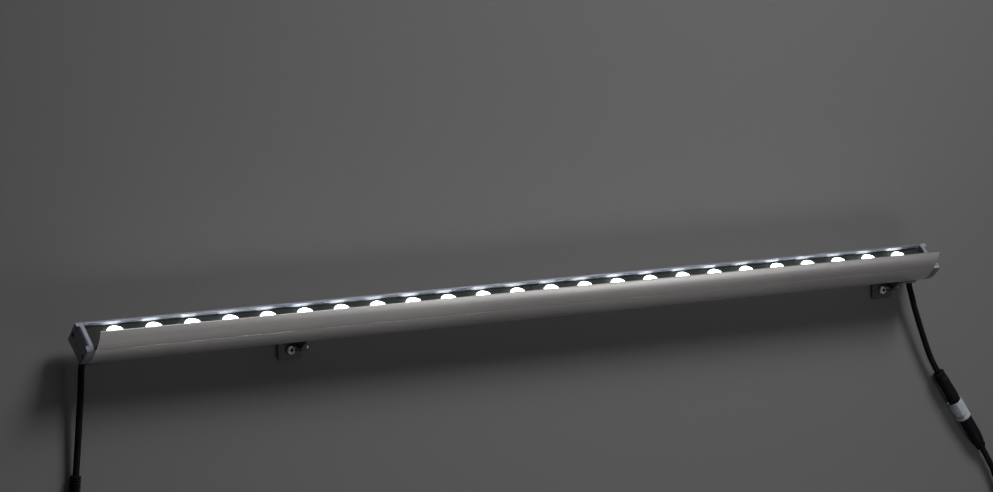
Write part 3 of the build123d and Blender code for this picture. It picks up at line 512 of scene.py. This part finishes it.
def powder_coat(name, base):
    """Powder-coated steel: orange peel, rubbed edges."""
    material, tree, shader, place = start_material(name)
    grain = use_effect(tree, "fine_grain", place, scale=1500.0, mottle_scale=30.0)
    wear = use_effect(tree, "edge_wear", place, radius=PROFILE_EDGE)
    dust = use_effect(tree, "settled_dust", place)
    tone = mottled(tree, grain, base, dark=0.85, light=1.15)
    tone = overlaid(tree, tone, wear.outputs["Mask"], 0.25, WORN_COAT)
    tone = overlaid(tree, tone, dust.outputs["Mask"], 0.15, DUST_ON_COAT)
    feed(tree, shader, Base_Color=tone, Roughness=uneven(tree, grain, 0.44, 0.58))
    bumped(tree, shader, grain.outputs["Height"], wear.outputs["Normal"], distance=0.00005)
    return material


def screw_recess(tree, place):
    """A mask inside the cross recesses of the two wall screws, where grime settles and shade is painted."""
    x, y, z = separate(tree, place)
    sideways = difference(tree, math_node(tree, "ABSOLUTE", x), WALL_SCREW_X)
    inner = falling(tree, hypotenuse(tree, sideways, z), *CROSS_RADIUS)
    return product(tree, inner, rising(tree, y, *CROSS_Y))


def machined_steel(name, base, rough=0.28, grime_and_shade=False):
    """Screws, bolts, nuts and contacts: uncoated metal with a fine grain."""
    material, tree, shader, place = start_material(name, Metallic=1.0)
    grain = use_effect(tree, "fine_grain", place, scale=3500.0, mottle_scale=120.0)
    wear = use_effect(tree, "edge_wear", place, radius=STEEL_EDGE)
    tone = mottled(tree, grain, base, dark=0.82, light=1.08)
    tone = mixed(tree, product(tree, wear.outputs["Mask"], 0.4), tone, colour(base, 1.3))
    if grime_and_shade:
        # Grime and painted shade in the cross recess.
        tone = mixed(tree, screw_recess(tree, place), tone, colour(SCREW_GRIME_AND_SHADE))
    feed(tree, shader, Base_Color=tone, Roughness=uneven(tree, grain, rough, rough + 0.14))
    bumped(tree, shader, grain.outputs["Height"], wear.outputs["Normal"], distance=0.00002)
    return material


def moulded(name, base, rough, grain_scale=1400.0, depth=0.00004, dusty=0.12, coat=0.0, gloss=0.5):
    """Moulded plastic or rubber: fine texture, slightly paler edges."""
    material, tree, shader, place = start_material(name, Coat_Weight=coat, Specular_IOR_Level=gloss)
    grain = use_effect(tree, "fine_grain", place, scale=grain_scale, mottle_scale=45.0)
    wear = use_effect(tree, "edge_wear", place, radius=MOULDED_EDGE)
    dust = use_effect(tree, "settled_dust", place)
    tone = mottled(tree, grain, base, dark=0.8, light=1.2)
    paler = [channel * 1.6 + 0.004 for channel in base]
    tone = overlaid(tree, tone, wear.outputs["Mask"], 0.3, paler)
    tone = overlaid(tree, tone, dust.outputs["Mask"], dusty, DUST_ON_PLASTIC)
    feed(tree, shader, Base_Color=tone, Roughness=uneven(tree, grain, rough - 0.07, rough + 0.1))
    bumped(tree, shader, grain.outputs["Height"], wear.outputs["Normal"], distance=depth)
    return material


def lit_lens(name, base, strength):
    """A clear optic that is lit from below: bright over its dome, dimmer at its rim, with faint rings."""
    material, tree, shader, place = start_material(
        name, Roughness=0.12, IOR=1.49, Transmission_Weight=0.35, Emission_Strength=strength
    )
    distance = lens_distance(tree, place)
    glow = ranged(tree, distance, LENS_RADIUS * 0.90, LENS_RADIUS, 1.0, 0.2)
    rings = product(tree, math_node(tree, "SINE", product(tree, distance, 5200.0)), 0.5)
    grain = use_effect(tree, "fine_grain", place, scale=700.0, mottle_scale=90.0)
    faint = total(tree, product(tree, grain.outputs["Mottle"], 0.08), 0.92)
    light = mixed(tree, product(tree, glow, faint), colour(LENS_RIM_LIGHT), colour(LENS_LIGHT))
    tone = mottled(tree, grain, base, dark=0.96, light=1.0)
    feed(tree, shader, Base_Color=tone, Emission_Color=light)
    bumped(tree, shader, total(tree, rings, grain.outputs["Height"]), None, distance=0.00003)
    return material


def lit_phosphor(name, base, strength):
    """The LEDs' own lit faces, behind the lenses."""
    material, tree, shader, place = start_material(name, Roughness=0.6, Emission_Strength=strength)
    grain = use_effect(tree, "fine_grain", place, scale=4000.0, mottle_scale=900.0)
    light = mixed(tree, grain.outputs["Mottle"], colour(PHOSPHOR_DIM), colour(PHOSPHOR_BRIGHT))
    feed(tree, shader, Base_Color=mottled(tree, grain, base, dark=0.9, light=1.0), Emission_Color=light)
    bumped(tree, shader, grain.outputs["Height"], None, distance=0.00003)
    return material


def circuit_board(name, base, trace):
    """Solder mask with faint straight tracks and pads."""
    material, tree, shader, place = start_material(name, Roughness=0.3, Coat_Weight=0.3)
    turn = {"Vector": place, "Rotation": (math.radians(45), 0, 0)}
    turned = add(tree, "ShaderNodeMapping", turn).outputs[0]
    layout = {"Vector": turned, "Scale": 110.0, "Mortar Size": 0.035, "Mortar Smooth": 0.2}
    tracks = add(tree, "ShaderNodeTexBrick", layout).outputs["Fac"]
    grain = use_effect(tree, "fine_grain", place, scale=2500.0, mottle_scale=60.0)
    tone = mottled(tree, grain, base, dark=0.9, light=1.05)
    feed(tree, shader, Base_Color=overlaid(tree, tone, tracks, 0.5, trace))
    height = total(tree, tracks, product(tree, grain.outputs["Height"], 0.3))
    bumped(tree, shader, height, None, distance=0.00003)
    return material


def cord_jacket(name, base):
    """A smooth rubber jacket with a faint extrusion ripple."""
    material, tree, shader, place = start_material(name, Specular_IOR_Level=0.05)
    grain = use_effect(tree, "fine_grain", place, scale=1800.0, mottle_scale=70.0)
    ripple = noise(tree, place, 260.0, detail=2.0)
    dust = use_effect(tree, "settled_dust", place, scale=120.0)
    tone = mottled(tree, grain, base, dark=0.7, light=1.3)
    tone = overlaid(tree, tone, dust.outputs["Mask"], 0.1, DUST_ON_RUBBER)
    feed(tree, shader, Base_Color=tone, Roughness=uneven(tree, grain, 0.38, 0.55))
    height = total(tree, grain.outputs["Height"], product(tree, ripple, 1.5))
    bumped(tree, shader, height, None, distance=0.00005)
    return material


def dress(material, *names):
    """Puts a material on CAD nodes."""
    for name in names:
        mesh = NODES[name].data
        mesh.materials.clear()
        mesh.materials.append(material)


# ---------------------------------------------------------------- settings
def swatch(name, description, default):
    """A colour that a user can change."""
    return bpy.props.FloatVectorProperty(
        name=name, description=description, default=default, subtype="COLOR", min=0, max=1
    )


class WasherSizes(bpy.types.PropertyGroup):
    cord_diameter: bpy.props.FloatProperty(
        name="Cord diameter", description="Outer diameter of the black cords", default=0.0065, unit="LENGTH"
    )
    floor_level: bpy.props.FloatProperty(
        name="Floor level", description="Height of the stage's floor", default=-1.2, unit="LENGTH"
    )


class WasherColours(bpy.types.PropertyGroup):
    body: swatch("Profile", "Anodised profile and visor", (0.45, 0.435, 0.43))
    # The end caps get a darker colour than the profile: painted shade, as their outer faces turn away from
    # the light.
    cap: swatch("End caps", "Coated end caps", (0.17, 0.18, 0.205))
    bracket: swatch("Brackets", "Coated wall plates and arms", (0.03, 0.032, 0.031))
    cord: swatch("Cords", "Cord jackets", (0.004, 0.004, 0.0045))
    ring: swatch("Coupling ring", "Light grey coupling ring", (0.2, 0.215, 0.235))
    glow: bpy.props.FloatProperty(
        name="Glow", description="Strength of the lit lenses", default=12.0, min=0
    )


# ---------------------------------------------------------------- cords
def route_curve(name, points, diameter):
    """A smooth round cord, with its route's points as control points."""
    data = bpy.data.curves.new(name, "CURVE")
    data.dimensions = "3D"
    data.resolution_u = ROUTE_STEPS
    spline = data.splines.new("NURBS")
    spline.points.add(len(points) - 1)
    for spot, point in zip(spline.points, points):
        spot.co = (*point, 1.0)
    spline.order_u = 3
    spline.use_endpoint_u = True
    data.bevel_depth = diameter / 2
    data.bevel_resolution = ROUND_STEPS
    data.use_fill_caps = True
    made = bpy.data.objects.new(name, data)
    bpy.context.scene.collection.objects.link(made)
    return made


def centreline(curve):
    """The points that a cord's spline runs through."""
    data = curve.data
    depth, data.bevel_depth = data.bevel_depth, 0.0
    bpy.context.view_layer.update()
    line = bpy.data.meshes.new_from_object(curve.evaluated_get(bpy.context.evaluated_depsgraph_get()))
    points = [vertex.co.copy() for vertex in line.vertices]
    bpy.data.meshes.remove(line)
    data.bevel_depth = depth
    bpy.context.view_layer.update()
    return points


def mesh_tube(name, points, diameter):
    """A cord as a mesh, and the line that it follows."""
    curve = route_curve(name + "_route", points, diameter)
    path = centreline(curve)
    mesh = bpy.data.meshes.new_from_object(curve.evaluated_get(bpy.context.evaluated_depsgraph_get()))
    bpy.data.objects.remove(curve)
    for face in mesh.polygons:
        face.use_smooth = len(face.vertices) == 4
    made = bpy.data.objects.new(name, mesh)
    bpy.context.scene.collection.objects.link(made)
    return made, path


def coil_route():
    """The supply lead's put-away turns, about an axis square to the wall."""
    start = COIL_IN + COIL_TANGENT
    centre = start + Vector((COIL_RADIUS, 0, 0))
    reach = COIL_RADIUS / math.cos(math.pi / COIL_POINTS)
    points = []
    for i in range(1, COIL_TURNS * COIL_POINTS):
        turns = i / COIL_POINTS
        angle = math.pi + 2 * math.pi * turns
        across, up = reach * math.cos(angle), reach * math.sin(angle)
        points.append(centre + Vector((across, -COIL_PITCH * turns, up)))
    out = start + Vector((0, -COIL_PITCH * COIL_TURNS, 0))
    return [start, *points, out, out + COIL_TANGENT]


class WASHER_OT_cords(bpy.types.Operator):
    """Makes the two lamp cords and the supply lead with its coil"""

    bl_idname = "washer.cords"
    bl_label = "Cords"

    def execute(self, context):
        sizes, colours = context.scene.washer_sizes, context.scene.washer_colours
        jacket = cord_jacket("cord_jacket", colours.cord)
        for side, route, length, pieces in LAMP_CORDS:
            tube, path = mesh_tube(f"{side}_cord", route, sizes.cord_diameter)
            tube.data.materials.append(jacket)
            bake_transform(tube)
            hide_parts(f"cord_{side}")
        supply = route_curve("supply_cord", LEAD_ROUTE + coil_route(), sizes.cord_diameter)
        supply.data.materials.append(jacket)
        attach(supply, WALL_BODY)
        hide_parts("supply_lead", "supply_coil")
        return {"FINISHED"}


class WASHER_OT_camera(bpy.types.Operator):
    """Places the camera"""

    bl_idname = "washer.camera"
    bl_label = "Camera"

    def execute(self, context):
        data = bpy.data.cameras.new("camera")
        data.sensor_width = SENSOR_MM
        data.lens = LENS_MM
        data.clip_start, data.clip_end = NEAREST_SEEN, FURTHEST_SEEN
        camera = bpy.data.objects.new("camera", data)
        context.scene.collection.objects.link(camera)
        turn = Matrix((CAMERA_RIGHT, CAMERA_UP, -CAMERA_FORWARD)).transposed().to_4x4()
        camera.matrix_world = Matrix.Translation(CAMERA_PLACE) @ turn
        context.scene.camera = camera
        return {"FINISHED"}


# ---------------------------------------------------------------- finishes of the CAD pieces
class WASHER_OT_profile(bpy.types.Operator):
    """Finishes the anodised profile, the visor, the end caps and the rubber seals"""

    bl_idname = "washer.profile"
    bl_label = "Profile and Caps"

    def execute(self, context):
        colours = context.scene.washer_colours
        aluminium = {"base": colours.body, "rough": 0.34, "metal": 0.85}
        dress(anodised("anodised_profile", recess=True, **aluminium), "housing")
        dress(anodised("anodised_visor", blackened=True, **aluminium), "glare_visor")
        # The caps' darker colour is painted shade.
        cap = anodised("cap_painted_shade", colours.cap, rough=0.42, metal=0.75, density=500.0)
        dress(cap, "end_cap_left", "end_cap_right")
        dress(
            moulded("seal_rubber", (0.02, 0.02, 0.02), rough=0.7),
            "end_gasket_left",
            "end_gasket_right",
            "entry_grommet_left",
            "entry_grommet_right",
            "connector_left_seal",
            "wall_screw_seals",
        )
        return {"FINISHED"}


class WASHER_OT_optics(bpy.types.Operator):
    """Finishes the lenses, their frames and the LED boards"""

    bl_idname = "washer.optics"
    bl_label = "Optics"

    def execute(self, context):
        glow = context.scene.washer_colours.glow
        dress(lit_lens("lens_clear", (0.93, 0.95, 0.96), glow), "lenses_left", "lenses_right")
        dress(lit_phosphor("led_phosphor", (0.93, 0.82, 0.35), glow), "led_emitters")
        dark = (0.012, 0.015, 0.014)
        frame_plastic = moulded("lens_frame_plastic", dark, rough=0.6, dusty=0.01, gloss=0.06)
        dress(frame_plastic, "lens_frame_left", "lens_frame_right")
        board = circuit_board("board_white", (0.8, 0.8, 0.77), (0.6, 0.58, 0.5))
        dress(board, "led_board_left", "led_board_right")
        return {"FINISHED"}


class WASHER_OT_electronics(bpy.types.Operator):
    """Finishes the regulator board, the wiring and the contacts"""

    bl_idname = "washer.electronics"
    bl_label = "Electronics"

    def execute(self, context):
        board = circuit_board("board_green", (0.03, 0.2, 0.09), (0.45, 0.38, 0.12))
        dress(board, "regulator_board")
        component = moulded("component_black", (0.03, 0.03, 0.03), rough=0.5, grain_scale=4000.0)
        dress(component, "regulator_components")
        dress(moulded("wire_red", (0.35, 0.03, 0.03), rough=0.35, coat=0.2), "through_wires")
        dress(moulded("core_insulation", (0.25, 0.1, 0.04), rough=0.35, coat=0.2), "supply_cores")
        dress(machined_steel("core_copper", (0.72, 0.42, 0.25), rough=0.25), "supply_core_tips")
        brass = machined_steel("contact_brass", (0.75, 0.6, 0.3), rough=0.2)
        dress(brass, "connector_left_contacts", "connector_right_pins")
        return {"FINISHED"}


class WASHER_OT_brackets(bpy.types.Operator):
    """Finishes the brackets, screws, bolts and nuts"""

    bl_idname = "washer.brackets"
    bl_label = "Brackets and Screws"

    def execute(self, context):
        bracket = powder_coat("bracket_coat", context.scene.washer_colours.bracket)
        dress(bracket, "wall_plate_left", "wall_plate_right", "tilt_arm_left", "tilt_arm_right")
        bright = machined_steel("bright_steel", (0.62, 0.62, 0.63))
        dress(bright, "pivot_studs", "led_board_screws")
        wall_screw = machined_steel("bright_screw", (0.62, 0.64, 0.64), rough=0.35, grime_and_shade=True)
        dress(wall_screw, "wall_screws")
        # Black-oxide cap screws, darkened further as painted shade in their deep holes.
        dress(machined_steel("black_oxide_and_hole_shade", (0.006, 0.006, 0.007), rough=0.6), "end_cap_screws")
        zinc = machined_steel("zinc_steel", (0.5, 0.5, 0.5), rough=0.38)
        dress(zinc, "slot_nut_left", "slot_nut_right")
        dress(
            machined_steel("blackened_steel", (0.05, 0.05, 0.055), rough=0.4),
            "arm_clamp_bolts",
            "entry_block_screws",
            "visor_screws",
            "pivot_nuts",
            "pivot_washers",
        )
        return {"FINISHED"}


class WASHER_OT_connectors(bpy.types.Operator):
    """Finishes the entry blocks, the connectors and the tie"""

    bl_idname = "washer.connectors"
    bl_label = "Connectors"

    def execute(self, context):
        block = moulded("entry_plastic", (0.05, 0.047, 0.055), rough=0.5)
        dress(block, "entry_block_left", "entry_block_right")
        black = (0.004, 0.004, 0.005)
        shell = moulded("connector_plastic", black, rough=0.5, dusty=0.01, gloss=0.05)
        dress(shell, "connector_left_shell", "connector_right_shell", "mating_connector_shell")
        dress(moulded("insert_plastic", (0.1, 0.1, 0.1), rough=0.5), "connector_left_insert")
        pale = context.scene.washer_colours.ring
        ring = moulded("ring_plastic", pale, rough=0.35, depth=0.00002, coat=0.15, dusty=0.04)
        dress(ring, "coupling_ring", "mating_collar")
        dark = (0.02, 0.02, 0.02)
        tie = moulded("tie_plastic", dark, rough=0.6, grain_scale=900.0, depth=0.0001)
        dress(tie, "coil_tie")
        return {"FINISHED"}


# ---------------------------------------------------------------- stage
def stage_sheet(name, corners, material):
    """A flat four-cornered part of the stage."""
    mesh = bpy.data.meshes.new(name)
    mesh.from_pydata(corners, [], [(0, 1, 2, 3)])
    mesh.materials.append(material)
    made = bpy.data.objects.new(name, mesh)
    bpy.context.scene.collection.objects.link(made)
    return made


def one_sided(name, shade, paleness=0.0):
    """A plain finish that shows from its front only, and may look paler to the camera than it is lit."""
    material, tree, shader, _ = start_material(name, Roughness=0.9, Specular_IOR_Level=0.1)
    shader.inputs["Base Color"].default_value = shade
    seen = add(tree, "ShaderNodeLightPath").outputs["Is Camera Ray"]
    paler = add(tree, "ShaderNodeEmission", {1: product(tree, seen, paleness)})
    front = add(tree, "ShaderNodeAddShader", {0: shader.outputs[0], 1: paler.outputs[0]})
    clear = add(tree, "ShaderNodeBsdfTransparent")
    side = add(tree, "ShaderNodeNewGeometry").outputs["Backfacing"]
    both = add(tree, "ShaderNodeMixShader", {0: side, 1: front.outputs[0], 2: clear.outputs[0]})
    tree.links.new(both.outputs[0], tree.nodes["Material Output"].inputs[0])
    return material


def studio_world():
    """An even dim light all round, with a pale backdrop where the camera sees past the stage."""
    world = bpy.data.worlds.new("studio")
    world.use_nodes = True
    tree = world.node_tree
    backdrop = add(tree, "ShaderNodeBackground", {0: BACKDROP_COLOUR, 1: 1.0})
    ambient = tree.nodes["Background"]
    ambient.inputs[0].default_value = AMBIENT_COLOUR
    ambient.inputs[1].default_value = AMBIENT_STRENGTH
    seen = add(tree, "ShaderNodeLightPath").outputs["Is Camera Ray"]
    both = add(tree, "ShaderNodeMixShader", {0: seen, 1: ambient.outputs[0], 2: backdrop.outputs[0]})
    tree.links.new(both.outputs[0], tree.nodes["World Output"].inputs[0])
    return world


def area_light(name, spot, target, size, watts, spread):
    """A rectangular lamp aimed at a point."""
    data = bpy.data.lights.new(name, "AREA")
    data.shape = "RECTANGLE"
    data.spread = math.radians(spread)
    data.size, data.size_y = size
    data.energy = watts
    made = bpy.data.objects.new(name, data)
    made.location = spot
    made.rotation_euler = (Vector(target) - Vector(spot)).to_track_quat("-Z", "Y").to_euler()
    bpy.context.scene.collection.objects.link(made)


class WASHER_OT_stage(bpy.types.Operator):
    """Makes the wall, the floor and the studio light"""

    bl_idname = "washer.stage"
    bl_label = "Stage"

    def execute(self, context):
        level = context.scene.washer_sizes.floor_level
        wall = stage_sheet(
            "stage_wall",
            [
                (-WALL_SIDE, 0, level),
                (WALL_SIDE, 0, level),
                (WALL_SIDE, 0, WALL_TOP),
                (-WALL_SIDE, 0, WALL_TOP),
            ],
            one_sided("stage_wall", WALL_COLOUR),
        )
        # The back light stands behind the wall, and lights the lamp's rear for views from there.
        wall.visible_shadow = False
        stage_sheet(
            "stage_floor",
            [
                (-FLOOR_SIDE, -FLOOR_REACH, level),
                (FLOOR_SIDE, -FLOOR_REACH, level),
                (FLOOR_SIDE, FLOOR_REACH, level),
                (-FLOOR_SIDE, FLOOR_REACH, level),
            ],
            one_sided("stage_floor", FLOOR_COLOUR, paleness=FLOOR_PALENESS),
        )
        context.scene.world = studio_world()
        for light in LIGHTS:
            area_light(*light)
        context.scene.view_settings.view_transform = "Standard"
        return {"FINISHED"}


class WASHER_PT_panel(bpy.types.Panel):
    """Lists the steps that make the light"""

    bl_idname = "WASHER_PT_panel"
    bl_label = "Wall Washer"
    bl_space_type = "VIEW_3D"
    bl_region_type = "UI"
    bl_category = "Wall Washer"

    def draw(self, context):
        sizes, colours = context.scene.washer_sizes, context.scene.washer_colours
        for name in ("cord_diameter", "floor_level"):
            self.layout.prop(sizes, name)
        for name in ("body", "cap", "bracket", "cord", "ring", "glow"):
            self.layout.prop(colours, name)
        for step in STEPS:
            self.layout.operator(step.bl_idname)


STEPS = (
    WASHER_OT_camera,
    WASHER_OT_cords,
    WASHER_OT_profile,
    WASHER_OT_optics,
    WASHER_OT_electronics,
    WASHER_OT_brackets,
    WASHER_OT_connectors,
    WASHER_OT_stage,
)
CLASSES = (WasherSizes, WasherColours, *STEPS, WASHER_PT_panel)


def register():
    """Makes the settings and steps known to Blender."""
    for each in CLASSES:
        bpy.utils.register_class(each)
    bpy.types.Scene.washer_sizes = bpy.props.PointerProperty(type=WasherSizes)
    bpy.types.Scene.washer_colours = bpy.props.PointerProperty(type=WasherColours)


def unregister():
    """Takes the settings and steps out again."""
    del bpy.types.Scene.washer_colours
    del bpy.types.Scene.washer_sizes
    for each in reversed(CLASSES):
        bpy.utils.unregister_class(each)


def main():
    """Runs the steps in order."""
    register()
    for step in STEPS:
        group, name = step.bl_idname.split(".")
        getattr(getattr(bpy.ops, group), name)()


if __name__ == "__main__":
    main()
